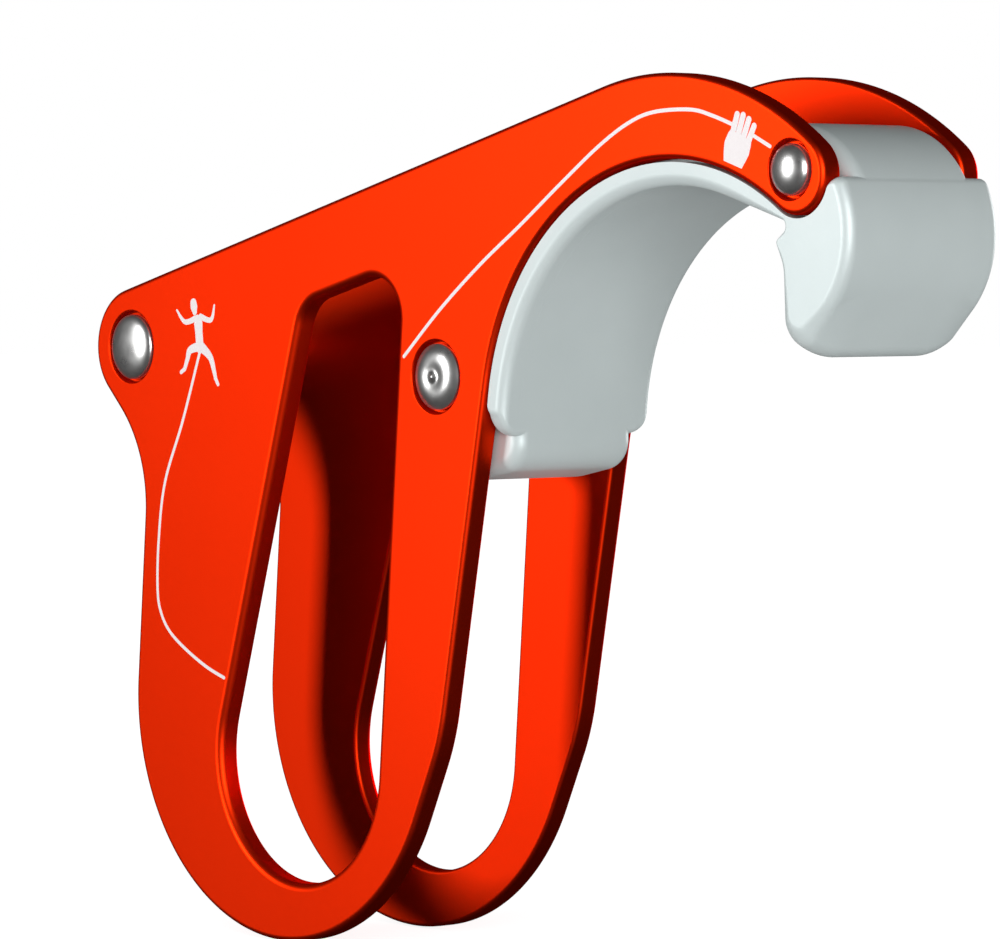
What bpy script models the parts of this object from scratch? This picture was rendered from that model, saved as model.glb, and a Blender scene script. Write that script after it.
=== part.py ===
"""Assisted braking belay device: two hook-shaped side plates riveted to a cast hook insert and a rear sleeve.

Metres, +Z up. +X points to the nose, and the plates lie either side of the plane Y = 0. The origin is
the centre of the carabiner slots' round lower ends. Outlines are drawn in the side view, as (x, z).
"""

import math

import bmesh
import bpy
from mathutils import Vector
from mathutils.geometry import tessellate_polygon

# Side plates
ROPE_GAP = 0.0158
PLATE_THICKNESS = 0.0024
OUTER_EDGE_RADIUS = 0.00055
INNER_EDGE_RADIUS = 0.0004

# Clearance between faces that touch on the real device
FIT_GAP = 0.0003

# Rivet centres of the rear and the middle
REAR_RIVET_AT = (-0.0276, 0.0417)
MID_RIVET_AT = (0.0217, 0.0393)

# Rivets: shank and head radii, and the head's height over its rim
REAR_SHANK_RADIUS = 0.0020
REAR_HEAD_RADIUS = 0.0034
REAR_HEAD_HEIGHT = 0.0009
MID_SHANK_RADIUS = 0.0020
MID_HEAD_RADIUS = 0.00325
MID_HEAD_HEIGHT = 0.0008
NOSE_SHANK_RADIUS = 0.0015
NOSE_HEAD_RADIUS = 0.0024
NOSE_HEAD_HEIGHT = 0.0011
HEAD_RIM_HEIGHT = 0.0004

# Recesses that the rivet heads sit in
RECESS_CLEARANCE = 0.0004
RECESS_DEPTH = 0.0009
RECESS_CHAMFER = 0.00015

# Plate outline: the lobe round the rear rivet, the waist below it and the loop that the slot is cut in
REAR_LOBE_RADIUS = 0.0062
WAIST_AT = (-0.0398, 0.0250)
WAIST_RADIUS = 0.0143
LOOP_AT = (-0.0031, 0.0051)
LOOP_RADIUS = 0.0238
LOOP_FRONT_OFFSET = (0.0026, 0.0056)

# Plate outline: the hollow of the hook, the tip that ends it and the crown over it. The tip touches
# both the hollow and the crown, and the nose rivet goes through it
HOOK_AT = (0.0551, 0.0340)
HOOK_RADIUS = 0.0262
TIP_DIRECTION = math.radians(55)
TIP_RADIUS = 0.0036
CROWN_OFFSET = (-0.0012, 0.0012)
NOSE_RIVET_OFFSET = (-0.00083, 0.00054)

# Carabiner slot: the round lower end is at the origin
SLOT_RADIUS = 0.0126
SLOT_FRONT_CORNER_AT = (0.0118, 0.0449)
SLOT_FRONT_CORNER_RADIUS = 0.0042
SLOT_REAR_CORNER_AT = (0.0040, 0.0431)
SLOT_REAR_CORNER_RADIUS = 0.0040
SLOT_EDGE_RADIUS = 0.0008

# Cast insert: the web between the plates, whose top is the floor that the rope runs on
WEB_THICKNESS = 0.0056
WEB_EDGE_RADIUS = 0.0014
HEEL_TOP_RADIUS = 0.0056
HEEL_REAR_OFFSET = (-0.0014, -0.0059)
HEEL_REAR_RADIUS = 0.0042
HEEL_FRONT_OFFSET = (0.0017, -0.0019)
HEEL_FRONT_RADIUS = 0.0083
HEEL_LIP_RADIUS = 0.0030
TOE_DROP = 0.0003
TOE_RADIUS = 0.0016

# Cast insert: the flange that covers the plates' edges along the hook, and the nose that it ends in.
# Both are a little narrower than the plates are wide apart outside
FLANGE_STEP = 0.0006
FLANGE_THICKNESS = 0.0022
FLANGE_EDGE_RADIUS = 0.0005
FLANGE_END_DROP = 0.0004
NOSE_OFFSET = (-0.0039, -0.0053)
NOSE_RADIUS = 0.01025
SHOULDER_RADIUS = 0.0009

# Cast insert: the chin under the nose, the wall behind it, the spur on that wall and the armpit over it
CHIN_DIRECTION = math.radians(-67.5)
CHIN_DROP = 0.00175
CHIN_RADIUS = 0.0022
CHIN_CORNER_RADIUS = 0.0070
CHIN_CORNER_WIDTH = 0.0047
CHIN_CORNER_LINES = 4
WALL_HOLLOW_RISE = 0.0051
WALL_HOLLOW_RADIUS = 0.0040
SPUR_OFFSET = (-0.0005, 0.0083)
SPUR_RADIUS = 0.0004
ARMPIT_OFFSET = (-0.0002, 0.0098)
ARMPIT_RADIUS = 0.0005

# The web is drawn this much inside the faces that it shares with the flange, so that the two cross cleanly
SET_BACK = 0.00005

# Rear sleeve
SLEEVE_RADIUS = 0.0046
SLEEVE_CHAMFER = 0.0004

# How finely curves are cut into straight lines
CHORD_ERROR = 0.000025
CIRCLE_LINES = 28
EDGE_LINES = 3

# Sizes that follow from those above
INNER_FACE = ROPE_GAP / 2
OUTER_FACE = INNER_FACE + PLATE_THICKNESS
RECESS_FLOOR = OUTER_FACE - RECESS_DEPTH
WEB_FACE = INNER_FACE - FIT_GAP
FLANGE_FACE = OUTER_FACE - FLANGE_STEP
FLANGE_RADIUS = HOOK_RADIUS - FIT_GAP
HOLLOW_RADIUS = FLANGE_RADIUS - FLANGE_THICKNESS
TOUCHING = 0.000002

for old in list(bpy.data.objects):
    bpy.data.objects.remove(old, do_unlink=True)


def new_collection(name):
    collection = bpy.data.collections.new(name)
    bpy.context.scene.collection.children.link(collection)
    return collection


PARTS = new_collection("belay_device")
CUTTERS = new_collection("cutters")


def metal(name, colour, metallic, roughness):
    material = bpy.data.materials.new(name)
    material.use_nodes = True
    shader = material.node_tree.nodes["Principled BSDF"]
    shader.inputs["Base Color"].default_value = (*colour, 1.0)
    shader.inputs["Metallic"].default_value = metallic
    shader.inputs["Roughness"].default_value = roughness
    return material


ANODISED_ORANGE = metal("anodised_orange", (0.84, 0.03, 0.002), 0.7, 0.35)
CAST_STEEL = metal("cast_steel", (0.42, 0.50, 0.50), 0.6, 0.45)
RIVET_STEEL = metal("rivet_steel", (0.60, 0.60, 0.60), 1.0, 0.22)
SLEEVE_STEEL = metal("sleeve_steel", (0.50, 0.51, 0.52), 1.0, 0.35)


def moved(point, offset):
    return (point[0] + offset[0], point[1] + offset[1])


def beside(point, distance, heading):
    return (point[0] + distance * math.cos(heading), point[1] + distance * math.sin(heading))


def level_point(centre, distance, z, side):
    """Point at a height and at a distance from a centre, in front of it (1) or behind it (-1)."""
    across = math.sqrt(max(distance**2 - (z - centre[1]) ** 2, 0.0))
    return (centre[0] + side * across, z)


def meeting_point(a, distance_a, b, distance_b):
    """Point at a distance from each of two centres, on the left of the way from a to b."""
    span = math.dist(a, b)
    cosine = (distance_a**2 + span**2 - distance_b**2) / (2 * distance_a * span)
    way = math.atan2(b[1] - a[1], b[0] - a[0])
    return beside(a, distance_a, way + math.acos(max(-1.0, min(1.0, cosine))))


TIP_AT = beside(HOOK_AT, HOOK_RADIUS + TIP_RADIUS, TIP_DIRECTION)
NOSE_RIVET_AT = moved(TIP_AT, NOSE_RIVET_OFFSET)
NOSE_AT = moved(TIP_AT, NOSE_OFFSET)
CHIN_AT = beside(NOSE_AT, NOSE_RADIUS - CHIN_RADIUS + CHIN_DROP, CHIN_DIRECTION)
TOE_AT = beside(NOSE_AT, NOSE_RADIUS - TOE_RADIUS + TOE_DROP, CHIN_DIRECTION)
CHIN_WALL_FOOT = (CHIN_AT[0] - CHIN_RADIUS, CHIN_AT[1])
WALL_HOLLOW_AT = moved(CHIN_WALL_FOOT, (-WALL_HOLLOW_RADIUS, WALL_HOLLOW_RISE))
SPUR_AT = moved(CHIN_WALL_FOOT, SPUR_OFFSET)
ARMPIT_AT = moved(CHIN_WALL_FOOT, ARMPIT_OFFSET)
LIP_AT = (HOOK_AT[0] - HOLLOW_RADIUS - HEEL_LIP_RADIUS, HOOK_AT[1])

# Where each rivet sits, and its shank radius, head radius and head height
RIVETS = {
    "rear_rivet": (REAR_RIVET_AT, REAR_SHANK_RADIUS, REAR_HEAD_RADIUS, REAR_HEAD_HEIGHT),
    "mid_rivet": (MID_RIVET_AT, MID_SHANK_RADIUS, MID_HEAD_RADIUS, MID_HEAD_HEIGHT),
    "nose_rivet": (NOSE_RIVET_AT, NOSE_SHANK_RADIUS, NOSE_HEAD_RADIUS, NOSE_HEAD_HEIGHT),
}

# An outline is a ring of arcs, each (centre, radius), run round anticlockwise in the side view and joined
# by common tangents. A positive radius bulges out and a negative one is hollow


def common_tangent(a, b):
    """Heading of the line that leaves arc a and joins arc b."""
    across, up = b[0][0] - a[0][0], b[0][1] - a[0][1]
    sine = (b[1] - a[1]) / math.hypot(across, up)
    return math.atan2(up, across) - math.asin(max(-1.0, min(1.0, sine)))


def turns(arcs):
    """The heading that each arc starts with, and how far it turns from there."""
    headings = [common_tangent(arc, arcs[(i + 1) % len(arcs)]) for i, arc in enumerate(arcs)]
    found = []
    for i, (_, radius) in enumerate(arcs):
        turn = (headings[i] - headings[i - 1]) % (2 * math.pi)
        found.append((headings[i - 1], turn if radius > 0 else turn - 2 * math.pi))
    return found


def arc_point(arc, heading):
    (x, z), radius = arc
    return (x + radius * math.sin(heading), z - radius * math.cos(heading))


def line_counts(arcs):
    """How many lines each arc is cut into, and whether it starts where the arc before it ends."""
    counts = []
    for i, (arc, (start, turn)) in enumerate(zip(arcs, turns(arcs))):
        lines = max(1, math.ceil(abs(turn) / math.sqrt(8 * CHORD_ERROR / abs(arc[1]))))
        joined = math.dist(arc_point(arc, start), arc_point(arcs[i - 1], start)) < TOUCHING
        counts.append((lines, joined))
    return counts


def outline(arcs, counts):
    points = []
    for arc, (start, turn), (lines, joined) in zip(arcs, turns(arcs), counts):
        points += [arc_point(arc, start + turn * k / lines) for k in range(int(joined), lines + 1)]
    return points


def grown(arcs, by):
    """The same ring of arcs with its outline moved outwards."""
    return [(centre, radius + by) for centre, radius in arcs]


def circle(centre, radius):
    return [beside(centre, radius, 2 * math.pi * k / CIRCLE_LINES) for k in range(CIRCLE_LINES)]


def rounded_edge(face, radius, into):
    """Heights of Y and insets down a rounded edge, from a flat face at Y = face into the body."""
    steps = [math.pi / 2 * k / EDGE_LINES for k in range(EDGE_LINES + 1)]
    return [(face + into * radius * (1 - math.cos(a)), radius * (1 - math.sin(a))) for a in steps]


def wall(sections):
    """Outlines of a wall from the ring of arcs at each of its levels, (Y, arcs). All are cut into as many
    lines as the middle one, which is the full outline."""
    counts = line_counts(sections[len(sections) // 2][1])
    return [(y, outline(arcs, counts)) for y, arcs in sections]


def walled_mesh(name, walls):
    """Closed mesh between two flat faces. Each wall is a list of outlines from one face to the other,
    (Y, points); the first wall is the outside of the body and the others are holes through it."""
    vertices, faces, rims = [], [], []
    for levels in walls:
        starts = []
        for y, points in levels:
            starts.append(len(vertices))
            vertices += [(x, y, z) for x, z in points]
        count = len(levels[0][1])
        for a, b in zip(starts, starts[1:]):
            faces += [(a + i, a + (i + 1) % count, b + (i + 1) % count, b + i) for i in range(count)]
        rims.append([[start + i for i in range(count)] for start in (starts[0], starts[-1])])
    for end in (0, 1):
        loops = [[Vector(vertices[i]).xz.to_3d() for i in rim[end]] for rim in rims]
        corners = [i for rim in rims for i in rim[end]]
        faces += [tuple(corners[i] for i in triangle) for triangle in tessellate_polygon(loops)]
    mesh = bpy.data.meshes.new(name)
    mesh.from_pydata(vertices, [], faces)
    work = bmesh.new()
    work.from_mesh(mesh)
    bmesh.ops.recalc_face_normals(work, faces=work.faces)
    work.to_mesh(mesh)
    work.free()
    return mesh


def turned_mesh(name, profile, at):
    """Closed mesh turned about a line along Y from (radius, Y) points down its outer side, from the far
    end to the near one. A profile that doesn't reach the axis is closed along its bore."""
    mesh = bpy.data.meshes.new(name)
    hollow = profile[0][0] > 0
    edges = [(i, i + 1) for i in range(len(profile) - 1)]
    if hollow:
        edges.append((len(profile) - 1, 0))
    mesh.from_pydata([(radius, 0, y) for radius, y in profile], edges, [])
    piece = bpy.data.objects.new(name, mesh)
    piece.location = (at[0], 0, at[1])
    piece.rotation_euler = (-math.pi / 2, 0, 0)
    screw = piece.modifiers.new("turned", "SCREW")
    screw.axis = "Z"
    screw.steps = CIRCLE_LINES
    screw.render_steps = CIRCLE_LINES
    screw.use_merge_vertices = True
    screw.merge_threshold = TOUCHING
    return piece


def as_part(piece, material):
    PARTS.objects.link(piece)
    piece.data.materials.clear()
    piece.data.materials.append(material)
    piece.data.shade_smooth()
    piece.data.set_sharp_from_angle(angle=math.radians(35))
    return piece


def plate_arcs(inset):
    """A side plate: the rear lobe, down round the loop, up the front leg, along the hook and back over it."""
    crown_at = moved(HOOK_AT, CROWN_OFFSET)
    arcs = [
        (REAR_RIVET_AT, REAR_LOBE_RADIUS),
        (WAIST_AT, -WAIST_RADIUS),
        (LOOP_AT, LOOP_RADIUS),
        (moved(LOOP_AT, LOOP_FRONT_OFFSET), LOOP_RADIUS),
        (HOOK_AT, -HOOK_RADIUS),
        (TIP_AT, TIP_RADIUS),
        (crown_at, math.dist(crown_at, TIP_AT) + TIP_RADIUS),
    ]
    return grown(arcs, -inset)


def slot_arcs(inset):
    """The carabiner slot, which widens towards the plate's faces."""
    arcs = [
        ((0, 0), SLOT_RADIUS),
        (SLOT_FRONT_CORNER_AT, SLOT_FRONT_CORNER_RADIUS),
        (SLOT_REAR_CORNER_AT, SLOT_REAR_CORNER_RADIUS),
    ]
    return grown(arcs, inset)


def web_arcs(inset):
    """The insert between the plates: the toe inside the chin, up round the nose, back along the rope floor,
    round the heel and along the hook's hollow to the armpit behind the chin."""
    arcs = [
        (TOE_AT, TOE_RADIUS),
        (NOSE_AT, NOSE_RADIUS),
        (HOOK_AT, HOLLOW_RADIUS + WEB_THICKNESS),
        (MID_RIVET_AT, HEEL_TOP_RADIUS),
        (moved(MID_RIVET_AT, HEEL_REAR_OFFSET), HEEL_REAR_RADIUS),
        (moved(MID_RIVET_AT, HEEL_FRONT_OFFSET), HEEL_FRONT_RADIUS),
        (LIP_AT, HEEL_LIP_RADIUS),
        (HOOK_AT, -HOLLOW_RADIUS),
        (ARMPIT_AT, -ARMPIT_RADIUS),
    ]
    return grown(arcs, -SET_BACK - inset)


def chin_rise(y):
    """How much higher the chin ends than in the middle, since its two corners are rounded from in front."""
    past = max(abs(y) - (FLANGE_FACE - CHIN_CORNER_WIDTH), 0.0)
    return CHIN_CORNER_RADIUS - math.sqrt(CHIN_CORNER_RADIUS**2 - past**2)


def flange_arcs(inset, y):
    """The insert at its full width: the chin, up round the nose to the shoulder, round the pocket that
    holds the plates' tips, along the plates' edges to the flange's end, back along the hollow and down the
    wall behind the chin."""
    pocket_radius = TIP_RADIUS + FIT_GAP
    shoulder_radius = SHOULDER_RADIUS - 0.4 * inset
    nose_radius = NOSE_RADIUS - inset
    thickness = FLANGE_THICKNESS - inset
    end_z = HOOK_AT[1] - FLANGE_END_DROP + inset
    outer_end, inner_end = 0.4 * thickness, 0.3 * thickness
    return [
        (moved(CHIN_AT, (0, chin_rise(y))), CHIN_RADIUS - inset),
        (NOSE_AT, nose_radius),
        (
            meeting_point(TIP_AT, pocket_radius + shoulder_radius, NOSE_AT, nose_radius - shoulder_radius),
            shoulder_radius,
        ),
        (TIP_AT, -pocket_radius),
        (HOOK_AT, FLANGE_RADIUS),
        (level_point(HOOK_AT, FLANGE_RADIUS - outer_end, end_z + outer_end, -1), outer_end),
        (level_point(HOOK_AT, FLANGE_RADIUS - thickness + inner_end, end_z + inner_end, -1), inner_end),
        (HOOK_AT, -HOLLOW_RADIUS - inset),
        (ARMPIT_AT, -ARMPIT_RADIUS - inset),
        (moved(SPUR_AT, (inset, 0)), SPUR_RADIUS),
        (WALL_HOLLOW_AT, -WALL_HOLLOW_RADIUS - inset),
    ]


def rivet_hole(rivet, side):
    """Stepped hole through a plate: the recess for the rivet's head and the hole for its shank."""
    at, shank_radius, head_radius, _ = RIVETS[rivet]
    recess = circle(at, head_radius + RECESS_CLEARANCE)
    shank = circle(at, shank_radius + FIT_GAP)
    return [
        (side * OUTER_FACE, circle(at, head_radius + RECESS_CLEARANCE + RECESS_CHAMFER)),
        (side * (OUTER_FACE - RECESS_CHAMFER), recess),
        (side * RECESS_FLOOR, recess),
        (side * RECESS_FLOOR, shank),
        (side * INNER_FACE, shank),
    ]


def side_plate(name, side):
    """A flat plate, rounded more outside than inside, with its slot and its three stepped rivet holes."""
    outer, inner = side * OUTER_FACE, side * INNER_FACE
    inner_edge = rounded_edge(inner, INNER_EDGE_RADIUS, side)[::-1]
    walls = [
        wall([(y, arcs_at(inset)) for y, inset in rounded_edge(outer, radius, -side) + inner_edge])
        for arcs_at, radius in ((plate_arcs, OUTER_EDGE_RADIUS), (slot_arcs, SLOT_EDGE_RADIUS))
    ]
    walls += [rivet_hole(rivet, side) for rivet in RIVETS]
    as_part(bpy.data.objects.new(name, walled_mesh(name, walls)), ANODISED_ORANGE)


def both_edges(face, radius):
    """Levels of a body from -face to face with both its edges rounded."""
    return rounded_edge(-face, radius, 1) + rounded_edge(face, radius, -1)[::-1]


def hook_insert(name):
    """One casting of T section: the web between the plates, and the flange and nose that reach over the
    plates' edges on both sides. Two rivets go through the web."""
    web_walls = [wall([(y, web_arcs(inset)) for y, inset in both_edges(WEB_FACE, WEB_EDGE_RADIUS)])]
    for rivet in ("mid_rivet", "nose_rivet"):
        at, shank_radius = RIVETS[rivet][:2]
        hole = circle(at, shank_radius + FIT_GAP)
        web_walls.append([(-WEB_FACE, hole), (WEB_FACE, hole)])
    insert = bpy.data.objects.new(name, walled_mesh(name, web_walls))
    corner = [CHIN_CORNER_WIDTH * k / CHIN_CORNER_LINES for k in range(CHIN_CORNER_LINES)]
    corner_levels = [(FLANGE_FACE - CHIN_CORNER_WIDTH + past, 0.0) for past in corner]
    far_levels = corner_levels + rounded_edge(FLANGE_FACE, FLANGE_EDGE_RADIUS, -1)[::-1]
    levels = [(-y, inset) for y, inset in reversed(far_levels)] + far_levels
    flange_walls = [wall([(y, flange_arcs(inset, y)) for y, inset in levels])]
    flange = bpy.data.objects.new("flange", walled_mesh("flange", flange_walls))
    CUTTERS.objects.link(flange)
    flange.hide_render = True
    flange.display_type = "WIRE"
    as_part(insert, CAST_STEEL)
    union = insert.modifiers.new("flange", "BOOLEAN")
    union.operation = "UNION"
    union.solver = "EXACT"
    union.object = flange


def domed_head(radius, seat, height):
    """Points of a smooth head, from the crown down to the seat under its rim."""
    rim = seat + HEAD_RIM_HEIGHT
    steps = [math.pi / 8 * k for k in range(5)]
    return [(radius * math.sin(a), rim + height * math.cos(a)) for a in steps] + [(radius, seat)]


def spun_head(radius, seat, height):
    """Points of a head formed by spinning, which leaves a pip in the middle of a shallow dish."""
    rim = seat + HEAD_RIM_HEIGHT
    shape = [(0, 1), (0.14, 0.92), (0.24, 0.55), (0.42, 0.72), (0.68, 0.68), (0.90, 0.38), (1, 0)]
    return [(radius * across, rim + height * up) for across, up in shape] + [(radius, seat)]


def rivet_piece(name, head_points):
    """A rivet clenched on both sides: a head in each plate's recess and the shank between them."""
    at, shank_radius, head_radius, head_height = RIVETS[name]
    seat = RECESS_FLOOR + FIT_GAP
    far_head = head_points(head_radius, seat, head_height)
    near_head = [(radius, -y) for radius, y in reversed(far_head)]
    profile = far_head + [(shank_radius, seat), (shank_radius, -seat)] + near_head
    as_part(turned_mesh(name, profile, at), RIVET_STEEL)


def rear_sleeve(name):
    """The tube on the rear rivet that holds the plates the rope gap apart."""
    bore_radius = REAR_SHANK_RADIUS + FIT_GAP
    profile = [
        (bore_radius, WEB_FACE),
        (SLEEVE_RADIUS - SLEEVE_CHAMFER, WEB_FACE),
        (SLEEVE_RADIUS, WEB_FACE - SLEEVE_CHAMFER),
        (SLEEVE_RADIUS, -WEB_FACE + SLEEVE_CHAMFER),
        (SLEEVE_RADIUS - SLEEVE_CHAMFER, -WEB_FACE),
        (bore_radius, -WEB_FACE),
    ]
    as_part(turned_mesh(name, profile, REAR_RIVET_AT), SLEEVE_STEEL)


side_plate("side_plate_left", -1)
side_plate("side_plate_right", 1)
hook_insert("hook_insert")
rivet_piece("rear_rivet", domed_head)
rivet_piece("mid_rivet", spun_head)
rivet_piece("nose_rivet", domed_head)
rear_sleeve("rear_spacer_sleeve")
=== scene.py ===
"""Belay device: two orange anodised side plates with laser marks on one, a cast hook insert, a rear sleeve
and three rivets.

Metres, +Z up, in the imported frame: +X points to the nose, the near plate lies at -Y, and the origin is the
centre of the slots' round lower ends. Outlines are drawn in the side view, as (x, z).
"""

import math

import bmesh
import bpy
import numpy as np
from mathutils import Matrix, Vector
from mathutils.geometry import tessellate_polygon


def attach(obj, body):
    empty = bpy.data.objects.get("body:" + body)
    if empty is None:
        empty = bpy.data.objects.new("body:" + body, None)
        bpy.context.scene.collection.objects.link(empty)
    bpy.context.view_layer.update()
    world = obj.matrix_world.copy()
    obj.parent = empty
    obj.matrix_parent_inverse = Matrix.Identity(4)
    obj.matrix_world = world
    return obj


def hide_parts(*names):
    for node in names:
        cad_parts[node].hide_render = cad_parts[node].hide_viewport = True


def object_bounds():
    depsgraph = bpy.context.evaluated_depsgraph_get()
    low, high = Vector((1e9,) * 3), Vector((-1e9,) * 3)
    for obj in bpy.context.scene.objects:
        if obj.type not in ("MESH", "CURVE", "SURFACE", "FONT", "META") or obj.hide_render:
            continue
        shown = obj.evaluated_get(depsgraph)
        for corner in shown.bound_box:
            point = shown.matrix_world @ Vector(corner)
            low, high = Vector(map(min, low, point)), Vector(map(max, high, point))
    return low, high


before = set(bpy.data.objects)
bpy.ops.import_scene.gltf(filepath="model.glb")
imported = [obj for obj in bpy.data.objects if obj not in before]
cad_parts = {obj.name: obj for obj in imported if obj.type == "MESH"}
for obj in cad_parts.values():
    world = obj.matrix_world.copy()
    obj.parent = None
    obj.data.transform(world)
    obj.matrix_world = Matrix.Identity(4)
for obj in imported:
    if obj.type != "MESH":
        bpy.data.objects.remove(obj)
cad_box = [list(corner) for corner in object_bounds()]

# Side plates
# Two flat plates of aluminium, milled to one outline, tumbled until their edges are round, and anodised
# orange. Each has the slot that the carabiner slides in and three recessed holes for the rivets' heads.

ROPE_GAP = 0.0158
PLATE_THICKNESS = 0.0024
INNER_FACE = ROPE_GAP / 2
OUTER_FACE = INNER_FACE + PLATE_THICKNESS
OUTER_EDGE_RADIUS = 0.00055
INNER_EDGE_RADIUS = 0.0004
SLOT_EDGE_RADIUS = 0.0008
FLAT_MARGIN = 0.00002
FIT_GAP = 0.0003

REAR_RIVET_AT = (-0.0276, 0.0417)
MID_RIVET_AT = (0.0217, 0.0393)
REAR_LOBE_RADIUS = 0.00615
WAIST_AT = (-0.0398, 0.0250)
WAIST_RADIUS = 0.0143
LOOP_AT = (-0.0031, 0.0051)
LOOP_RADIUS = 0.0238
LOOP_FRONT_OFFSET = (0.0026, 0.0056)
HOOK_AT = (0.0548, 0.0340)
HOOK_RADIUS = 0.0262
TIP_DIRECTION = math.radians(55)
TIP_RADIUS = 0.0037
CROWN_OFFSET = (-0.0007, 0.0012)
NOSE_RIVET_OFFSET = (-0.00059, 0.00046)
SLOT_RADIUS = 0.0126
SLOT_FRONT_CORNER_AT = (0.0118, 0.0449)
SLOT_FRONT_CORNER_RADIUS = 0.0042
SLOT_REAR_CORNER_AT = (0.0040, 0.0431)
SLOT_REAR_CORNER_RADIUS = 0.0040

REAR_HEAD_RADIUS = 0.0034
MID_HEAD_RADIUS = 0.00325
NOSE_HEAD_RADIUS = 0.0024
RECESS_CLEARANCE = 0.0004
RECESS_DEPTH = 0.0009
RECESS_EDGE_RADIUS = 0.00015
RECESS_FOOT_RADIUS = 0.00025
SHANK_RADIUS = 0.0020

CHORD_ERROR = 0.000002
EDGE_STEPS = 10
FOOT_STEPS = 4
ROUND_STEPS = 144
MERGE_DISTANCE = 1e-7
CREASE_ANGLE = 40


def moved(point, offset):
    """The point plus the offset."""
    return (point[0] + offset[0], point[1] + offset[1])


def beside(point, distance, heading):
    """The point that lies at a distance from another, on a heading."""
    return (point[0] + distance * math.cos(heading), point[1] + distance * math.sin(heading))


TIP_AT = beside(HOOK_AT, HOOK_RADIUS + TIP_RADIUS, TIP_DIRECTION)
NOSE_RIVET_AT = moved(TIP_AT, NOSE_RIVET_OFFSET)


def common_tangent(a, b):
    """Heading of the line that leaves arc a and joins arc b: the way from centre to centre, turned by the
    arcsine of the difference of their radii over the distance."""
    across, up = b[0][0] - a[0][0], b[0][1] - a[0][1]
    sine = (b[1] - a[1]) / math.hypot(across, up)
    return math.atan2(up, across) - math.asin(max(-1.0, min(1.0, sine)))


def ring_of_arcs(arcs, steps=None):
    """A closed outline, run round anticlockwise, of arcs (centre, signed radius) joined by common tangents.
    Gives each point's arc centre, signed radius and outward normal (sin h, -cos h) at its heading h, so
    that the point is centre + radius * normal. A list of steps keeps like outlines point for point alike."""
    headings = [common_tangent(arc, arcs[(i + 1) % len(arcs)]) for i, arc in enumerate(arcs)]
    centres, radii, angles = [], [], []
    for i, (centre, radius) in enumerate(arcs):
        turn = (headings[i] - headings[i - 1]) % (2 * math.pi)
        if radius < 0:
            turn -= 2 * math.pi
        fine = math.ceil(abs(turn) / math.sqrt(8 * CHORD_ERROR / abs(radius)))
        count = 1 + (steps[i] if steps else max(2, fine))
        angles.append(headings[i - 1] + np.linspace(0, turn, count))
        centres.append(np.tile(centre, (count, 1)))
        radii.append(np.full(count, radius))
    angles = np.concatenate(angles)
    normals = np.stack([np.sin(angles), -np.cos(angles)], axis=1)
    return np.concatenate(centres), np.concatenate(radii), normals


def ring_of_circle(centre, radius):
    """A full circle in the form that ring_of_arcs gives."""
    angles = np.arange(ROUND_STEPS) * 2 * np.pi / ROUND_STEPS
    normals = np.stack([np.sin(angles), -np.cos(angles)], axis=1)
    return np.tile(centre, (ROUND_STEPS, 1)), np.full(ROUND_STEPS, radius), normals


def carried(ring, levels):
    """A profile carried round an outline: at each level (y, growth) the outline is
    centre + (radius + growth) * normal, at that y. Gives a grid (level, point, xyz)."""
    centres, radii, normals = ring
    levels = np.asarray(levels, float)
    flat = centres + (radii[None, :] + levels[:, 1:2])[..., None] * normals
    y = np.broadcast_to(levels[:, :1], flat.shape[:2])
    return np.stack([flat[..., 0], y, flat[..., 1]], axis=-1)


def rounded(face, radius, into, outwards=-1):
    """Levels down a quarter round: from a flat face at y = face, where the outline has moved by the radius,
    to the wall, at y = face + into * radius. The flat's last margin is a level of its own."""
    angle = np.linspace(0, np.pi / 2, EDGE_STEPS + 1)
    y = face + into * radius * (1 - np.cos(angle))
    growth = outwards * radius * (1 - np.sin(angle))
    first = [[face, outwards * (radius + FLAT_MARGIN)]]
    return np.concatenate([first, np.stack([y, growth], axis=1)])


def grid_faces(rows, columns, start=0):
    """Quads of a grid whose columns close on themselves, as vertex numbers."""
    row, column = np.meshgrid(np.arange(rows - 1), np.arange(columns), indexing="ij")
    following = (column + 1) % columns
    quads = [row * columns + column, row * columns + following, (row + 1) * columns + following,
             (row + 1) * columns + column]
    return start + np.stack(quads, axis=-1).reshape(-1, 4)


def closed_body(name, walls):
    """A body between two flat faces. Each wall is a grid that runs from one face to the other: the first
    is its outside, the others are holes, and the flat faces are triangles between the walls' rims."""
    faces, starts, start = [], [], 0
    for grid in walls:
        starts.append(start)
        faces += grid_faces(*grid.shape[:2], start).tolist()
        start += grid.shape[0] * grid.shape[1]
    for row in (0, -1):
        rims = [grid[row][:, [0, 2, 1]].tolist() for grid in walls]
        numbers = np.concatenate(
            [begin + (row % grid.shape[0]) * grid.shape[1] + np.arange(grid.shape[1])
             for begin, grid in zip(starts, walls)])
        flat = [[(x, z, 0.0) for x, z, _ in rim] for rim in rims]
        faces += numbers[np.array(tessellate_polygon(flat))].tolist()
    points = np.concatenate([grid.reshape(-1, 3) for grid in walls])
    return finished_mesh(name, points, faces)


def finished_mesh(name, points, faces, sharp_angle=CREASE_ANGLE):
    """An object at the origin with its faces turned outwards and smooth shading up to a crease angle."""
    mesh = bpy.data.meshes.new(name)
    mesh.from_pydata(points.tolist(), [], faces)
    work = bmesh.new()
    work.from_mesh(mesh)
    bmesh.ops.remove_doubles(work, verts=work.verts, dist=MERGE_DISTANCE)
    bmesh.ops.recalc_face_normals(work, faces=work.faces)
    work.to_mesh(mesh)
    work.free()
    mesh.shade_smooth()
    mesh.set_sharp_from_angle(angle=math.radians(sharp_angle))
    piece = bpy.data.objects.new(name, mesh)
    bpy.context.scene.collection.objects.link(piece)
    return piece


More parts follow.
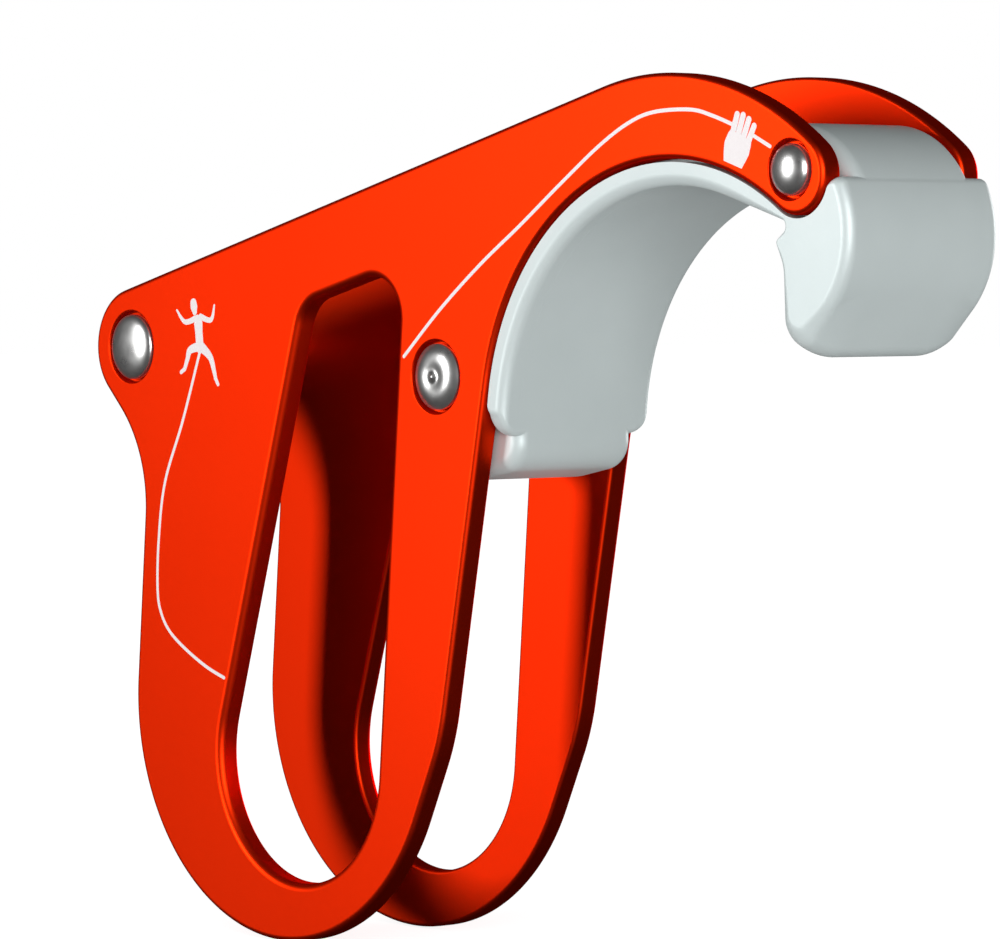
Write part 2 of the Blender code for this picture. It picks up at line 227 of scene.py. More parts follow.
plate_outline = ring_of_arcs([
    (REAR_RIVET_AT, REAR_LOBE_RADIUS),
    (WAIST_AT, -WAIST_RADIUS),
    (LOOP_AT, LOOP_RADIUS),
    (moved(LOOP_AT, LOOP_FRONT_OFFSET), LOOP_RADIUS),
    (HOOK_AT, -HOOK_RADIUS),
    (TIP_AT, TIP_RADIUS),
    (moved(HOOK_AT, CROWN_OFFSET), math.dist(moved(HOOK_AT, CROWN_OFFSET), TIP_AT) + TIP_RADIUS),
])
slot_outline = ring_of_arcs([
    ((0, 0), SLOT_RADIUS),
    (SLOT_FRONT_CORNER_AT, SLOT_FRONT_CORNER_RADIUS),
    (SLOT_REAR_CORNER_AT, SLOT_REAR_CORNER_RADIUS),
])


def recess_wall(centre, head_radius, side):
    """A rivet's stepped hole: the rounded rim of the recess, its wall, a small fillet, the floor and the
    hole for the shank, from the plate's outer face to its inner one."""
    outer, inner = side * OUTER_FACE, side * INNER_FACE
    floor = side * (OUTER_FACE - RECESS_DEPTH)
    angle = np.linspace(0, np.pi / 2, FOOT_STEPS + 1)
    foot = np.stack([floor + side * RECESS_FOOT_RADIUS * (1 - np.sin(angle)),
                     -RECESS_FOOT_RADIUS * (1 - np.cos(angle))], axis=1)
    to_shank = SHANK_RADIUS - head_radius - RECESS_CLEARANCE
    levels = np.concatenate([
        rounded(outer, RECESS_EDGE_RADIUS, -side, outwards=1),
        foot,
        [[floor, to_shank], [inner, to_shank]],
    ])
    return carried(ring_of_circle(centre, head_radius + RECESS_CLEARANCE), levels)


def side_plate(name, side):
    """A plate on the side of -Y or +Y, given as -1 or 1: its rounded outline, less the slot and the three
    stepped holes."""
    outer, inner = side * OUTER_FACE, side * INNER_FACE
    inner_edge = rounded(inner, INNER_EDGE_RADIUS, side)[::-1]
    outside = np.concatenate([rounded(outer, OUTER_EDGE_RADIUS, -side), inner_edge])
    slot = np.concatenate([rounded(outer, SLOT_EDGE_RADIUS, -side), inner_edge])
    walls = [
        carried(plate_outline, outside),
        carried(slot_outline, slot * [1, -1]),
        recess_wall(REAR_RIVET_AT, REAR_HEAD_RADIUS, side),
        recess_wall(MID_RIVET_AT, MID_HEAD_RADIUS, side),
        recess_wall(NOSE_RIVET_AT, NOSE_HEAD_RADIUS, side),
    ]
    return closed_body(name, walls)


class Link:
    """An output in a material's node tree. Arithmetic on links and numbers adds Math nodes."""

    def __init__(self, tree, socket=None):
        self.tree = tree
        self.socket = socket

    def node(self, kind, settings=None, inputs=None, output=0):
        """Adds any node: first its settings, then the values or links of its sockets."""
        made = self.tree.nodes.new(kind)
        for name, value in (settings or {}).items():
            setattr(made, name, value)
        for name, value in (inputs or {}).items():
            if isinstance(value, Link):
                self.tree.links.new(value.socket, made.inputs[name])
            else:
                made.inputs[name].default_value = value
        return Link(self.tree, made.outputs[output])

    def math(self, operation, first, second):
        """Adds a Math node on two links or numbers."""
        return self.node("ShaderNodeMath", {"operation": operation}, {0: first, 1: second})

    def between(self, first, second):
        """A colour that goes from the first to the second as this link goes from 0 to 1."""
        return self.node("ShaderNodeMix", {"data_type": "RGBA"}, {"Factor": self, 6: first, 7: second},
                         output=2)

    def feeds(self, shader, socket):
        """Joins this link to a shader's socket."""
        self.tree.links.new(self.socket, shader.inputs[socket])

    def __add__(self, other):
        return self.math("ADD", self, other)

    __radd__ = __add__

    def __mul__(self, other):
        return self.math("MULTIPLY", self, other)

    __rmul__ = __mul__


def rgb(red, green, blue):
    """An opaque colour."""
    return (red, green, blue, 1.0)


def new_material(name, constants):
    """A Principled material with its constant sockets set, its shader and a link to build on."""
    material = bpy.data.materials.new(name)
    material.use_nodes = True
    shader = material.node_tree.nodes["Principled BSDF"]
    for socket, value in constants.items():
        shader.inputs[socket].default_value = value
    return material, shader, Link(material.node_tree)


def noise(tree, scale, detail):
    """Noise on Object coordinates, with a scale in cells per metre."""
    place = tree.node("ShaderNodeTexCoord", output="Object")
    return tree.node("ShaderNodeTexNoise", None, {"Vector": place, "Scale": scale, "Detail": detail})


BUMP_DEPTH = 0.0001


def bumped(tree, shader, height, strength):
    """A bump of the finishes' common depth from a height between 0 and 1."""
    bump = tree.node("ShaderNodeBump", None, {"Height": height, "Strength": strength, "Distance": BUMP_DEPTH})
    bump.feeds(shader, "Normal")


def roughened(shader, height, least, spread):
    """A roughness of the least value plus the spread times a height between 0 and 1."""
    (least + spread * height).feeds(shader, "Roughness")


DYE_PATCHES = 35.0
BLAST_GRAIN = 5200.0
THIN_DYE = rgb(0.90, 0.028, 0.002)
DEEP_DYE = rgb(0.96, 0.034, 0.003)


def plate_finish():
    """Satin orange anodising on blasted metal: a fine grain in the bump and the roughness, and a very slow
    drift of the dye's depth over the plate."""
    material, shader, tree = new_material("orange_anodising", {
        "Metallic": 1.0, "Specular Tint": rgb(0.90, 0.03, 0.003)})
    dye = noise(tree, DYE_PATCHES, detail=2.0)
    grain = noise(tree, BLAST_GRAIN, detail=2.0)
    dye.between(THIN_DYE, DEEP_DYE).feeds(shader, "Base Color")
    roughened(shader, grain, least=0.41, spread=0.08)
    bumped(tree, shader, grain, strength=0.04)
    return material


orange_anodising = plate_finish()
for plate_name, plate_side in (("side_plate_left", -1), ("side_plate_right", 1)):
    plate = side_plate("dressed_" + plate_name, plate_side)
    plate.data.materials.append(orange_anodising)
    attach(plate, "root")
    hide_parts(plate_name)

# Hook insert
# One steel casting of T section, tumbled to a satin skin: a web between the plates, whose top is the floor
# that the rope runs on, and a full-width flange along the hook's hollow that ends in a broad nose.

WEB_THICKNESS = 0.0056
WEB_EDGE_RADIUS = 0.0014
HEEL_TOP_RADIUS = 0.0056
HEEL_REAR_OFFSET = (-0.0014, -0.0059)
HEEL_REAR_RADIUS = 0.0042
HEEL_FRONT_OFFSET = (0.0017, -0.0019)
HEEL_FRONT_RADIUS = 0.0083
HEEL_LIP_RADIUS = 0.0030
HEEL_LIP_DIRECTION = math.radians(182.2)
TOE_DROP = 0.0003
TOE_RADIUS = 0.0016
FLANGE_STEP = 0.0004
FLANGE_THICKNESS = 0.0022
FLANGE_EDGE_RADIUS = 0.0011
FLANGE_END_DROP = 0.0004
FLANGE_CORNER_RADIUS = 0.0027
NOSE_OFFSET = (-0.00355, -0.00538)
NOSE_RADIUS = 0.01025
SHOULDER_RADIUS = 0.0009
CHIN_DIRECTION = math.radians(-68.4)
CHIN_DROP = 0.00175
CHIN_RADIUS = 0.0022
CHIN_CORNER_RADIUS = 0.0070
CHIN_CORNER_WIDTH = 0.0047
WALL_HOLLOW_RISE = 0.0051
WALL_HOLLOW_RADIUS = 0.0040
SPUR_OFFSET = (-0.0005, 0.0083)
SPUR_RADIUS = 0.0004
ARMPIT_OFFSET = (-0.0002, 0.0098)
ARMPIT_RADIUS = 0.0005
WEB_PROUD = 0.00001
SET_BACK = 0.00005

# The web's edges in the hollow: how far over and under the hook's centre they go from square to round.
SQUARE_OVER = 0.0014
ROUND_UNDER = 0.0007

# The share of the flange's thickness that each round of its end takes, of a corner's circle that its rise
# uses, and of the edges' inset that the tight shapes and the hollow of the chin's wall follow.
OUTER_END_SHARE = 0.4
INNER_END_SHARE = 0.3
CORNER_SHARE = 0.9
TIGHT_SHARE = 0.4
WALL_SHARE = 0.6

# Steps on each arc of the flange's and the web's outlines, in the arcs' order, and across a chin corner.
FLANGE_STEPS = [36, 72, 12, 40, 96, 16, 16, 120, 16, 10, 16]
WEB_STEPS = [16, 60, 80, 30, 36, 36, 24, 160, 10]
CORNER_STEPS = 20

WEB_FACE = INNER_FACE - FIT_GAP
FLANGE_FACE = OUTER_FACE - FLANGE_STEP
FLANGE_RADIUS = HOOK_RADIUS - FIT_GAP
HOLLOW_RADIUS = FLANGE_RADIUS - FLANGE_THICKNESS
NOSE_AT = moved(TIP_AT, NOSE_OFFSET)
CHIN_AT = beside(NOSE_AT, NOSE_RADIUS - CHIN_RADIUS + CHIN_DROP, CHIN_DIRECTION)
TOE_AT = beside(NOSE_AT, NOSE_RADIUS - TOE_RADIUS + TOE_DROP, CHIN_DIRECTION)
CHIN_WALL_FOOT = (CHIN_AT[0] - CHIN_RADIUS, CHIN_AT[1])
WALL_HOLLOW_AT = moved(CHIN_WALL_FOOT, (-WALL_HOLLOW_RADIUS, WALL_HOLLOW_RISE))
SPUR_AT = moved(CHIN_WALL_FOOT, SPUR_OFFSET)
ARMPIT_AT = moved(CHIN_WALL_FOOT, ARMPIT_OFFSET)
LIP_AT = beside(HOOK_AT, HOLLOW_RADIUS + HEEL_LIP_RADIUS, HEEL_LIP_DIRECTION)


def level_point(centre, distance, z):
    """Point behind a centre, at a height and at a distance from it."""
    return (centre[0] - math.sqrt(distance**2 - (z - centre[1]) ** 2), z)


def meeting_point(a, distance_a, b, distance_b):
    """Point at a distance from each of two centres, on the left of the way from a to b."""
    span = math.dist(a, b)
    cosine = (distance_a**2 + span**2 - distance_b**2) / (2 * distance_a * span)
    way = math.atan2(b[1] - a[1], b[0] - a[0])
    return beside(a, distance_a, way + math.acos(cosine))


def corner_rise(y, radius, width):
    """How much an end seen from in front rises towards its corners: the height of a circle over its lowest
    point, past the corner's start. The last of the circle is left to the edge's own rounding."""
    past = min(max(abs(y) - (FLANGE_FACE - width), 0.0), CORNER_SHARE * radius)
    return radius - math.sqrt(radius**2 - past**2)


def flange_arcs(inset, y):
    """The insert at its full width. Its outline moves in by the inset, but not along the plates' edges, and
    its two ends, the chin and the flange's end, are higher near the faces."""
    pocket_radius = TIP_RADIUS + FIT_GAP
    shoulder_radius = SHOULDER_RADIUS - TIGHT_SHARE * inset
    nose_radius = NOSE_RADIUS - inset
    thickness = FLANGE_THICKNESS - inset
    end_z = HOOK_AT[1] - FLANGE_END_DROP + inset + corner_rise(y, FLANGE_CORNER_RADIUS, FLANGE_CORNER_RADIUS)
    outer_end, inner_end = OUTER_END_SHARE * thickness, INNER_END_SHARE * thickness
    return [
        (moved(CHIN_AT, (0, corner_rise(y, CHIN_CORNER_RADIUS, CHIN_CORNER_WIDTH))), CHIN_RADIUS - inset),
        (NOSE_AT, nose_radius),
        (meeting_point(TIP_AT, pocket_radius + shoulder_radius, NOSE_AT, nose_radius - shoulder_radius),
         shoulder_radius),
        (TIP_AT, -pocket_radius),
        (HOOK_AT, FLANGE_RADIUS),
        (level_point(HOOK_AT, FLANGE_RADIUS - outer_end, end_z + outer_end), outer_end),
        (level_point(HOOK_AT, FLANGE_RADIUS - thickness + inner_end, end_z + inner_end), inner_end),
        (HOOK_AT, -HOLLOW_RADIUS - inset),
        (ARMPIT_AT, -ARMPIT_RADIUS - TIGHT_SHARE * inset),
        (moved(SPUR_AT, (TIGHT_SHARE * inset, 0)), SPUR_RADIUS),
        (WALL_HOLLOW_AT, -WALL_HOLLOW_RADIUS - WALL_SHARE * inset),
    ]


def flange_wall():
    """The flange's outline, worked out anew at each level across it: the chin's rounded corners in even
    steps, then the two rounded edges."""
    corner_start = FLANGE_FACE - CHIN_CORNER_WIDTH
    corner = np.linspace(corner_start, FLANGE_FACE - FLANGE_EDGE_RADIUS, CORNER_STEPS, endpoint=False)
    far = np.concatenate([np.stack([corner, np.zeros(CORNER_STEPS)], axis=1),
                          rounded(FLANGE_FACE, FLANGE_EDGE_RADIUS, -1)[::-1]])
    levels = np.concatenate([far[::-1] * [-1, 1], far])
    return np.concatenate([carried(ring_of_arcs(flange_arcs(-growth, y), FLANGE_STEPS), [[y, 0.0]])
                           for y, growth in levels])


def web_wall():
    """The web's outline: the toe inside the chin, the nose, the rope floor, round the heel and up the
    hollow. It stands proud of the flange in the hollow alone, so that the hollow runs down on to the heel
    in one surface. Its edges are round, and grow square from the flange's end upwards: 3 t^2 - 2 t^3."""
    centres, radii, normals = ring_of_arcs([
        (TOE_AT, TOE_RADIUS - SET_BACK),
        (NOSE_AT, NOSE_RADIUS - SET_BACK),
        (HOOK_AT, HOLLOW_RADIUS + WEB_THICKNESS),
        (MID_RIVET_AT, HEEL_TOP_RADIUS),
        (moved(MID_RIVET_AT, HEEL_REAR_OFFSET), HEEL_REAR_RADIUS),
        (moved(MID_RIVET_AT, HEEL_FRONT_OFFSET), HEEL_FRONT_RADIUS),
        (LIP_AT, HEEL_LIP_RADIUS + WEB_PROUD),
        (HOOK_AT, -HOLLOW_RADIUS + WEB_PROUD),
        (ARMPIT_AT, -ARMPIT_RADIUS - SET_BACK),
    ], WEB_STEPS)
    edge = rounded(WEB_FACE, WEB_EDGE_RADIUS, -1)
    y, growth = np.concatenate([edge * [-1, 1], edge[::-1]]).T
    height = centres[:, 1] + radii * normals[:, 1]
    t = np.clip((HOOK_AT[1] + SQUARE_OVER - height) / (SQUARE_OVER + ROUND_UNDER), 0, 1)
    rounds = np.where(radii > 0, 1.0, 3 * t**2 - 2 * t**3)
    flat = centres + (radii + growth[:, None] * rounds)[..., None] * normals
    return np.stack([flat[..., 0], np.broadcast_to(y[:, None], flat.shape[:2]), flat[..., 1]], axis=-1)


def insert_body(name):
    """The web and the flange made one by a union."""
    piece = closed_body(name, [web_wall()])
    flange = closed_body("flange", [flange_wall()])
    union = piece.modifiers.new("flange", "BOOLEAN")
    union.operation = "UNION"
    union.solver = "EXACT"
    union.object = flange
    bpy.context.view_layer.update()
    joined = bpy.data.meshes.new_from_object(piece.evaluated_get(bpy.context.evaluated_depsgraph_get()))
    piece.modifiers.clear()
    piece.data = joined
    joined.name = name
    joined.shade_smooth()
    joined.set_sharp_from_angle(angle=math.radians(CREASE_ANGLE))
    bpy.data.objects.remove(flange)
    return piece


CASTING_CLOUDS = 120.0
TUMBLED_GRAIN = 4200.0
DULL_CASTING = rgb(0.44, 0.495, 0.494)
BRIGHT_CASTING = rgb(0.49, 0.545, 0.543)


def insert_finish():
    """Satin cast steel: a fine tumbled grain and a faint cloudiness."""
    material, shader, tree = new_material("tumbled_casting", {"Metallic": 0.25})
    cloud = noise(tree, CASTING_CLOUDS, detail=3.0)
    grain = noise(tree, TUMBLED_GRAIN, detail=2.0)
    cloud.between(DULL_CASTING, BRIGHT_CASTING).feeds(shader, "Base Color")
    roughened(shader, grain, least=0.43, spread=0.10)
    bumped(tree, shader, grain, strength=0.05)
    return material


insert = insert_body("dressed_hook_insert")
insert.data.materials.clear()
insert.data.materials.append(insert_finish())
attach(insert, "root")
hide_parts("hook_insert")

# Rear sleeve
# A plain length of turned steel tube on the rear rivet, which keeps the plates the rope gap apart.

SLEEVE_RADIUS = 0.0046
SLEEVE_CHAMFER = 0.0004


def turned(name, profile, centre, sharp_angle=CREASE_ANGLE):
    """A surface of revolution about a line along Y: the profile's points (radius, y) carried round as
    centre + radius * (sin a, -cos a). Points on the axis become one, so the ends are closed."""
    profile = np.asarray(profile, float)
    ring = ring_of_circle(centre, 0.0)
    grid = carried(ring, profile[:, ::-1])
    faces = grid_faces(*grid.shape[:2])
    return finished_mesh(name, grid.reshape(-1, 3), faces.tolist(), sharp_angle)


STEEL_CLOUDS = 700.0
WORN_SHARE = 0.82
WEAR_SPREAD = 0.10


def steel_finish(name, colour, roughness, grain_scale):
    """Bright steel with fine wear: the colour and the roughness vary with a broad noise, the bump with a
    fine one."""
    material, shader, tree = new_material(name, {"Metallic": 0.95})
    cloud = noise(tree, STEEL_CLOUDS, detail=4.0)
    worn = rgb(*(WORN_SHARE * part for part in colour))
    cloud.between(worn, rgb(*colour)).feeds(shader, "Base Color")
    roughened(shader, cloud, least=roughness - WEAR_SPREAD / 2, spread=WEAR_SPREAD)
    bumped(tree, shader, noise(tree, grain_scale, detail=3.0), strength=0.05)
    return material


SLEEVE_BORE_RADIUS = SHANK_RADIUS + FIT_GAP
sleeve = turned("dressed_rear_sleeve", [
    (SLEEVE_BORE_RADIUS, WEB_FACE),
    (SLEEVE_RADIUS - SLEEVE_CHAMFER, WEB_FACE),
    (SLEEVE_RADIUS, WEB_FACE - SLEEVE_CHAMFER),
    (SLEEVE_RADIUS, -WEB_FACE + SLEEVE_CHAMFER),
    (SLEEVE_RADIUS - SLEEVE_CHAMFER, -WEB_FACE),
    (SLEEVE_BORE_RADIUS, -WEB_FACE),
    (SLEEVE_BORE_RADIUS, WEB_FACE),
], REAR_RIVET_AT)
sleeve.data.materials.append(
    steel_finish("turned_tube", (0.60, 0.61, 0.62), roughness=0.32, grain_scale=3000.0))
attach(sleeve, "root")
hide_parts("rear_spacer_sleeve")

# Rivets
# Three through rivets of stainless steel, formed on both sides in the plates' recesses. The rear and nose
# heads are smooth domes, and the middle ones are spun, which leaves rings and a pip in their centre.

HEAD_RIM_HEIGHT = 0.0004
REAR_HEAD_HEIGHT = 0.0009
MID_HEAD_HEIGHT = 0.0008
NOSE_HEAD_HEIGHT = 0.0011
HEAD_SEAT = OUTER_FACE - RECESS_DEPTH + FIT_GAP
PIN_RADIUS = SHANK_RADIUS - FIT_GAP

# The spun head before it is scaled to its height and radius: the power that makes its shoulder broad, and the
# depth or height and the width of its dish and its pip.
SHOULDER_POWER = 2.2
DISH_DEPTH, DISH_WIDTH = 0.42, 0.34
PIP_HEIGHT, PIP_WIDTH = 0.62, 0.15

DOME_STEPS = 24
SPUN_STEPS = 40
RIVET_CREASE_ANGLE = 50


def domed_profile(radius, height):
    """From the crown to the rim: an elliptic dome, radius * sin a out and height * cos a up, that stands on
    a short upright rim."""
    angle = np.linspace(0, np.pi / 2, DOME_STEPS + 1)
    return np.stack([radius * np.sin(angle), HEAD_SEAT + HEAD_RIM_HEIGHT + height * np.cos(angle)], axis=1)


def spun_profile(radius, height):
    """From the pip to the rim: the pip, the dish round it, a round shoulder and the fall to the rim. It is a
    cosine fall over the radius, less the dish and more the pip, both bell-shaped, scaled to the height."""
    across = np.linspace(0, 1, SPUN_STEPS + 1)
    fall = np.cos(np.pi / 2 * across**SHOULDER_POWER)
    dish = DISH_DEPTH * np.exp(-((across / DISH_WIDTH) ** 2))
    pip = PIP_HEIGHT * np.exp(-((across / PIP_WIDTH) ** 2))
    up = fall - dish + pip
    return np.stack([radius * across, HEAD_SEAT + HEAD_RIM_HEIGHT + height * up / up[0]], axis=1)


rivet_steel = steel_finish("rivet_steel", (0.72, 0.72, 0.71), roughness=0.29, grain_scale=1800.0)
for rivet_name, rivet_at, head in (
    ("rear_rivet", REAR_RIVET_AT, domed_profile(REAR_HEAD_RADIUS, REAR_HEAD_HEIGHT)),
    ("mid_rivet", MID_RIVET_AT, spun_profile(MID_HEAD_RADIUS, MID_HEAD_HEIGHT)),
    ("nose_rivet", NOSE_RIVET_AT, domed_profile(NOSE_HEAD_RADIUS, NOSE_HEAD_HEIGHT)),
):
    far_half = np.concatenate([head, [[head[-1, 0], HEAD_SEAT], [PIN_RADIUS, HEAD_SEAT]]])
    profile = np.concatenate([far_half, far_half[::-1] * [1, -1]])
    rivet = turned("dressed_" + rivet_name, profile, rivet_at, RIVET_CREASE_ANGLE)
    rivet.data.materials.append(rivet_steel)
    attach(rivet, "root")
    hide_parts(rivet_name)

# Marks
# The instruction marks, burnt into the left plate's dye by a laser, which leaves it white: a climber, the
# rope's way down into the slot and out of it again over the crown, and the hand on the brake strand.

MARK_PROUD = 0.000018
MARK_STEP = 0.0000015
MARK_SINK = 0.00001
PATH_STEPS = 10
END_ANGLES = np.radians(np.linspace(12, 75, 5))
MILLIMETRE = 0.001
LINE = [0.18]

# Each mark's middle line, as points (x, z), and its half width at each, in millimetres. The rope's line has
# one half width throughout, LINE. All marks have round ends but the wrist.
MARKS = {
    "head": ([(-16.9, 46.35), (-16.8, 45.9), (-16.7, 45.45)], [0.50, 0.56, 0.36]),
    "rear_arm": ([(-19.7, 45.6), (-18.35, 44.4), (-16.6, 44.75)], [0.12, 0.26, 0.33]),
    "front_arm": ([(-13.4, 46.15), (-13.95, 44.65), (-15.7, 44.95)], [0.12, 0.26, 0.33]),
    "body": ([(-16.2, 44.75), (-16.1, 44.3), (-16.0, 43.4), (-15.9, 42.5), (-15.8, 41.75)],
             [0.42, 0.70, 0.60, 0.60, 0.62]),
    "rear_leg": ([(-16.1, 41.85), (-17.5, 41.45), (-17.9, 40.6), (-18.4, 39.5)], [0.50, 0.40, 0.31, 0.24]),
    "rear_foot": ([(-18.4, 39.5), (-19.0, 39.15)], [0.24, 0.21]),
    "front_leg": ([(-15.5, 41.8), (-14.1, 40.8), (-13.5, 39.5), (-13.2, 38.6)], [0.55, 0.40, 0.31, 0.25]),
    "front_foot": ([(-13.2, 38.6), (-12.8, 38.0)], [0.25, 0.21]),
    "rope_to_slot": ([(-15.8, 41.4), (-18.7, 34.2), (-21.8, 27.6), (-22.9, 21.5), (-23.1, 16.3),
                      (-22.5, 13.9), (-21.0, 12.0), (-18.3, 10.3), (-14.9, 8.7), (-11.9, 7.7)], LINE * 10),
    "rope_over_crown": ([(16.95, 41.25), (22.4, 45.9), (28.4, 50.3), (34.3, 54.1), (40.1, 58.0),
                         (45.7, 61.6), (49.9, 63.7), (53.4, 64.6), (58.2, 64.7), (61.1, 64.1),
                         (64.2, 63.1)], LINE * 11),
    "rope_to_rivet": ([(66.6, 62.15), (68.85, 61.1)], LINE * 2),
    "wrist": ([(63.92, 59.5), (64.15, 60.2), (64.45, 61.0), (64.85, 61.85), (65.0, 62.2)],
              [1.25, 1.50, 1.72, 1.60, 1.45]),
    "first_finger": ([(64.05, 62.8), (64.5, 64.1)], [0.355, 0.33]),
    "second_finger": ([(64.7, 62.4), (65.3, 64.0)], [0.355, 0.33]),
    "third_finger": ([(65.35, 62.0), (66.05, 63.6)], [0.355, 0.33]),
    "fourth_finger": ([(66.0, 61.6), (66.75, 63.0)], [0.355, 0.31]),
}


def smooth_path(knots):
    """Points on a smooth curve through the knots: between two of them runs the cubic whose end tangents are
    half the way from the knot before to the knot after."""
    ends = np.concatenate([knots[:1], knots, knots[-1:]])
    a, b, c, d = (ends[i:len(ends) - 3 + i, None, :] for i in range(4))
    t = (np.arange(PATH_STEPS) / PATH_STEPS)[None, :, None]
    curve = b + (c - a) * t / 2 + (a - 2.5 * b + 2 * c - d / 2) * t**2 + (1.5 * (b - c) + (d - a) / 2) * t**3
    return np.concatenate([curve.reshape(-1, 2), knots[-1:]])


def mark_shell(knots, half_widths, proud, round_ends):
    """A thin closed shell on the plate's outer face: at each point of a smooth path a small rectangle that
    stands across it, half width to each side. At a round end the path goes on by r cos a while the half
    width falls as r sin a."""
    path = smooth_path(knots)
    way = np.gradient(path, axis=0)
    way /= np.linalg.norm(way, axis=1)[:, None]
    run = np.concatenate([[0], np.cumsum(np.linalg.norm(np.diff(path, axis=0), axis=1))])
    half = np.interp(run, run[::PATH_STEPS], half_widths)
    if round_ends:
        angle = END_ANGLES[:, None]
        before = path[0] - way[0] * half_widths[0] * np.cos(angle)
        after = path[-1] + way[-1] * half_widths[-1] * np.cos(angle[::-1])
        path = np.concatenate([before, path, after])
        way = np.concatenate([np.tile(way[0], angle.shape), way, np.tile(way[-1], angle.shape)])
        half = np.concatenate([half_widths[0] * np.sin(END_ANGLES), half,
                               half_widths[-1] * np.sin(END_ANGLES[::-1])])
    across = np.stack([-way[:, 1], way[:, 0]], axis=1) * half[:, None]
    top, foot = -OUTER_FACE - proud, -OUTER_FACE + MARK_SINK
    corners = [(path + across, top), (path - across, top), (path - across, foot), (path + across, foot)]
    grid = np.stack([np.stack([flat[:, 0], np.full(len(flat), y), flat[:, 1]], axis=1)
                     for flat, y in corners], axis=1)
    last = 4 * (len(path) - 1)
    faces = grid_faces(len(path), 4).tolist() + [[0, 1, 2, 3], [last + 3, last + 2, last + 1, last]]
    return grid.reshape(-1, 3), faces


mark_points, mark_faces, mark_count = [], [], 0
for level, (mark_name, (knots, half_widths)) in enumerate(MARKS.items()):
    shell_points, shell_faces = mark_shell(
        np.array(knots) * MILLIMETRE, np.array(half_widths) * MILLIMETRE, MARK_PROUD + level * MARK_STEP,
        mark_name != "wrist")
    mark_points.append(shell_points)
    mark_faces += [[corner + mark_count for corner in face] for face in shell_faces]
    mark_count += len(shell_points)
marks = finished_mesh("laser_marks", np.concatenate(mark_points), mark_faces)

# Burnt-off dye: matt white with the plate's fine grain in it.
laser_white, laser_shader, laser_tree = new_material("laser_white", {"Roughness": 0.6})
burn = noise(laser_tree, BLAST_GRAIN, detail=2.0)
burn.between(rgb(0.58, 0.54, 0.545), rgb(0.64, 0.61, 0.615)).feeds(laser_shader, "Base Color")
marks.data.materials.append(laser_white)
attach(marks, "root")

# Camera
# A long lens, far off and level with the hook, as in a catalogue picture.

CAMERA_AT = (0.416023, -0.347084, 0.049974)
CAMERA_AZIMUTH = math.radians(48.797)
CAMERA_ELEVATION = math.radians(2.185)
CAMERA_LENS = 189.96
CAMERA_SENSOR = 36.0
camera = bpy.data.objects.new("camera", bpy.data.cameras.new("camera"))
camera.data.lens = CAMERA_LENS
camera.data.sensor_width = CAMERA_SENSOR
camera.data.sensor_fit = "HORIZONTAL"
camera.location = CAMERA_AT
camera.rotation_euler = (math.pi / 2 - CAMERA_ELEVATION, 0.0, CAMERA_AZIMUTH)
bpy.context.scene.collection.objects.link(camera)
bpy.context.scene.camera = camera

# Light, floor and backdrop
# A white room with a tall soft lamp at the front left, a square one by the camera and a weaker one behind.
# Reflections see a tent of dark cards in place of the room, as round bright metal in a studio.

FLOOR_HALF = 3.0
FLOOR_GAP = 0.0002
FLOOR_LEVEL = cad_box[0][2] - FLOOR_GAP
FLOOR_GREY = 0.5
FLOOR_BOUNCE = 0.60
SHADOW_DEPTH = 0.14
SHADOW_REACH = 0.20
CARD_GREY = 0.02
TENT_LOW = (-1.0, -1.0, FLOOR_LEVEL + FLOOR_GAP / 2)
TENT_HIGH = (1.0, 1.0, 0.9)
WORLD_LIGHT = 0.10

# Each lamp: its centre, what it is turned towards, its width and height, and its brightness.
LAMPS = {
    "key_lamp": ((-0.335, -0.70, 0.14), (0.01, 0.0, 0.03), (0.13, 0.32), 28.0),
    "camera_lamp": ((0.48, -0.30, 0.12), (0.05, 0.0, 0.04), (0.30, 0.30), 10.0),
    "back_lamp": ((0.02, 0.85, 0.12), (0.02, 0.0, 0.03), (0.30, 0.30), 10.0),
}

for lamp_name, (centre, target, size, radiance) in LAMPS.items():
    light = bpy.data.lights.new(lamp_name, "AREA")
    light.shape = "RECTANGLE"
    light.size, light.size_y = size
    light.energy = radiance * math.pi * size[0] * size[1]
    lamp = bpy.data.objects.new(lamp_name, light)
    lamp.location = centre
    lamp.rotation_euler = (Vector(target) - Vector(centre)).to_track_quat("-Z", "Y").to_euler()
    lamp.visible_camera = False
    bpy.context.scene.collection.objects.link(lamp)


def staged(name, corners, faces, material):
    """A piece of the studio, which isn't part of the object, from its corners and faces."""
    mesh = bpy.data.meshes.new(name)
    mesh.from_pydata(corners, [], faces)
    mesh.materials.append(material)
    made = bpy.data.objects.new(name, mesh)
    bpy.context.scene.collection.objects.link(made)
    return made


def grey(level):
    """An opaque colour with all its parts alike."""
    return rgb(level, level, level)


def matt(name, level, glow=0.0):
    """A grey without gloss that also glows, its shader and a link to build on."""
    return new_material(name, {
        "Base Color": grey(level), "Roughness": 1.0, "Specular IOR Level": 0.0, "Emission Strength": glow})


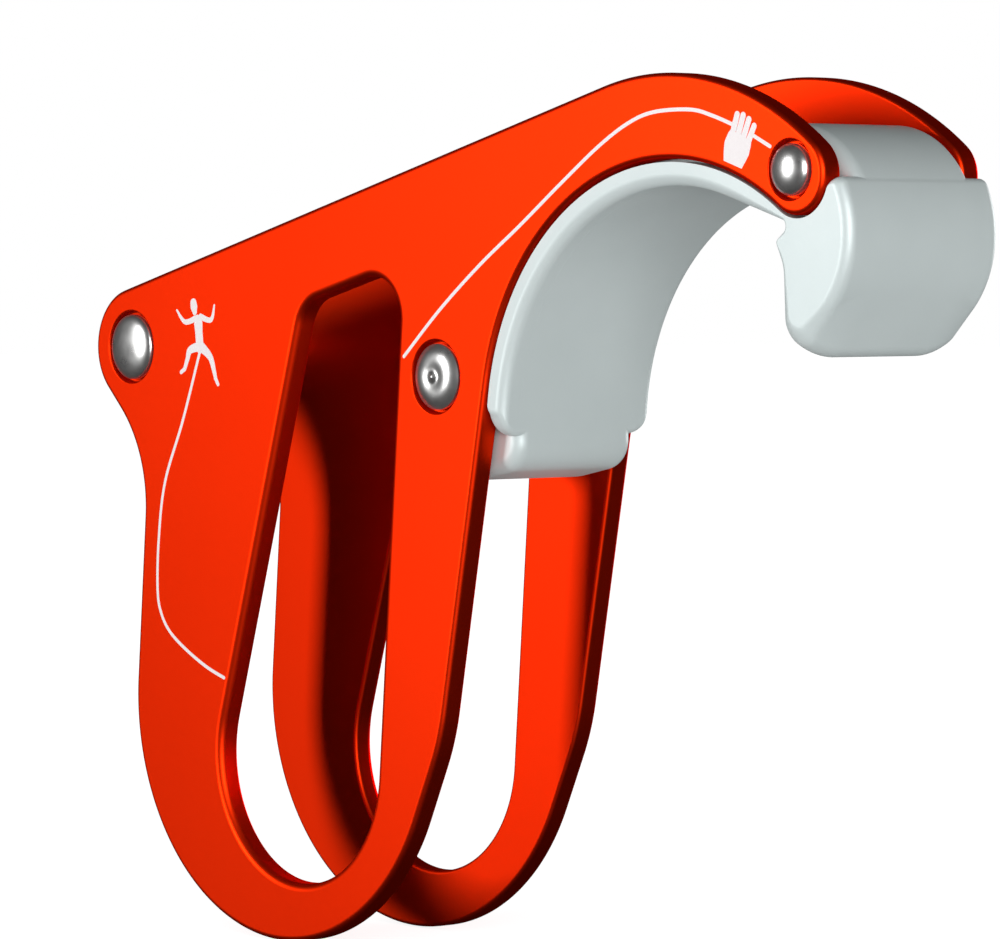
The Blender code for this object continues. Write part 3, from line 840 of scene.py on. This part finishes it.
def seen_white(tree):
    """1 for rays from the camera and for reflected and transmitted ones, which see the white backdrop."""
    rays = [tree.node("ShaderNodeLightPath", output=kind)
            for kind in ("Is Camera Ray", "Is Glossy Ray", "Is Transmission Ray")]
    return tree.node("ShaderNodeMath", {"operation": "ADD", "use_clamp": True},
                     {0: rays[0], 1: rays[1] + rays[2]})


card_tent = staged(
    "card_tent", [(x, y, z) for x in (TENT_LOW[0], TENT_HIGH[0]) for y in (TENT_LOW[1], TENT_HIGH[1])
                  for z in (TENT_LOW[2], TENT_HIGH[2])],
    [(0, 1, 3, 2), (4, 6, 7, 5), (0, 4, 5, 1), (2, 3, 7, 6), (0, 2, 6, 4), (1, 5, 7, 3)],
    matt("dark_card", CARD_GREY)[0])
card_tent.visible_camera = False
card_tent.visible_shadow = False
card_tent.visible_diffuse = False

# Neither the world nor the floor is sampled as a lamp, so their light comes only by rays that get there:
# a reflected ray from the object stops at the cards, and a diffuse one doesn't.
world = bpy.data.worlds.new("studio")
world.use_nodes = True
world.cycles.sampling_method = "NONE"
bpy.context.scene.world = world
sky = seen_white(Link(world.node_tree)).between(grey(WORLD_LIGHT), grey(1.0))
sky.feeds(world.node_tree.nodes["Background"], "Color")

# The floor glows white, a little less near the object by exp(-(r / reach)^2), so that the shadow shows.
floor_material, floor_shader, floor_tree = matt("pale_floor", FLOOR_GREY, glow=1.0)
floor_material.cycles.emission_sampling = "NONE"
place = floor_tree.node("ShaderNodeTexCoord", output="Object")
distance = floor_tree.node("ShaderNodeVectorMath", {"operation": "LENGTH"}, {0: place}, output="Value")
nearness = floor_tree.node("ShaderNodeMath", {"operation": "EXPONENT"}, {
    0: distance * distance * (-1.0 / SHADOW_REACH**2)})
paper = nearness.between(grey(1.0), grey(1.0 - SHADOW_DEPTH))
glow = seen_white(floor_tree).between(grey(FLOOR_BOUNCE), paper)
glow.feeds(floor_shader, "Emission Color")
floor_corners = [(x * FLOOR_HALF, y * FLOOR_HALF, FLOOR_LEVEL)
                 for x, y in ((-1, -1), (1, -1), (1, 1), (-1, 1))]
staged("floor", floor_corners, [(0, 1, 2, 3)], floor_material)

bpy.context.scene.view_settings.view_transform = "Standard"
